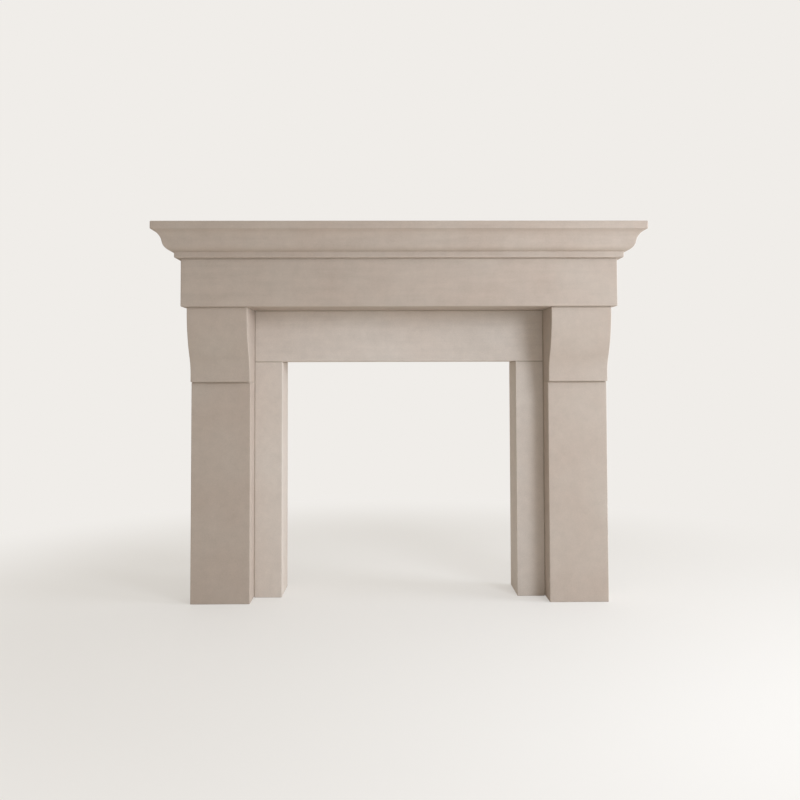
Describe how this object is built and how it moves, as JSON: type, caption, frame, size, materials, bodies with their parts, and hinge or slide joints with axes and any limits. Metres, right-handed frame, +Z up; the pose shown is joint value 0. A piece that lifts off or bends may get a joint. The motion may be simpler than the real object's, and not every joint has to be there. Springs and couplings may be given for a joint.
{
  "type": "fireplace surround",
  "caption": "Cast-stone fireplace surround: plain legs, S-curved corbels, plain frieze, cyma-moulded shelf, and inner slips and lintel framing a square fire opening.",
  "frame": {"origin": "on the floor, in the middle of the assembly's footprint box", "axes": "+X to the viewer's right along the shelf, +Y back towards the wall and the firebox, +Z up; the face looks along -Y and the wall line is the plane y = 0.0789 m"},
  "size_m": [1.7978, 0.4558, 1.4166],
  "materials": {
    "cast_stone": "smooth matt warm taupe cast stone, faintly mottled",
    "setting_mortar": "matt, struck back from the faces",
    "stainless_steel": "mill finish stainless steel"
  },
  "bodies": {
    "root": {"corbel_left": "cast_stone", "corbel_right": "cast_stone", "frieze": "cast_stone", "inner_lintel": "cast_stone", "inner_slip_left": "cast_stone", "inner_slip_right": "cast_stone", "leg_left": "cast_stone", "leg_right": "cast_stone", "mantel_shelf": "cast_stone", "mortar_corbel_left": "setting_mortar", "mortar_corbel_right": "setting_mortar", "mortar_frieze": "setting_mortar", "mortar_leg_left": "setting_mortar", "mortar_leg_right": "setting_mortar", "mortar_lintel": "setting_mortar", "mortar_side_left": "setting_mortar", "mortar_side_right": "setting_mortar", "mortar_slip_left": "setting_mortar", "mortar_slip_right": "setting_mortar", "pin_corbel_left_1": "stainless_steel", "pin_corbel_left_2": "stainless_steel", "pin_corbel_right_1": "stainless_steel", "pin_corbel_right_2": "stainless_steel", "pin_frieze_left_1": "stainless_steel", "pin_frieze_left_2": "stainless_steel", "pin_frieze_right_1": "stainless_steel", "pin_frieze_right_2": "stainless_steel", "pin_leg_left_1": "stainless_steel", "pin_leg_left_2": "stainless_steel", "pin_leg_right_1": "stainless_steel", "pin_leg_right_2": "stainless_steel", "pin_slip_left_1": "stainless_steel", "pin_slip_right_1": "stainless_steel", "screw_corbel_left_1": "stainless_steel", "screw_corbel_left_2": "stainless_steel", "screw_corbel_right_1": "stainless_steel", "screw_corbel_right_2": "stainless_steel", "screw_frieze_left_1": "stainless_steel", "screw_frieze_left_2": "stainless_steel", "screw_frieze_middle_1": "stainless_steel", "screw_frieze_middle_2": "stainless_steel", "screw_frieze_right_1": "stainless_steel", "screw_frieze_right_2": "stainless_steel", "screw_leg_left_1": "stainless_steel", "screw_leg_left_2": "stainless_steel", "screw_leg_right_1": "stainless_steel", "screw_leg_right_2": "stainless_steel", "tie_corbel_left": "stainless_steel", "tie_corbel_right": "stainless_steel", "tie_frieze_left": "stainless_steel", "tie_frieze_middle": "stainless_steel", "tie_frieze_right": "stainless_steel", "tie_leg_left": "stainless_steel", "tie_leg_right": "stainless_steel"}
  },
  "joints": []
}
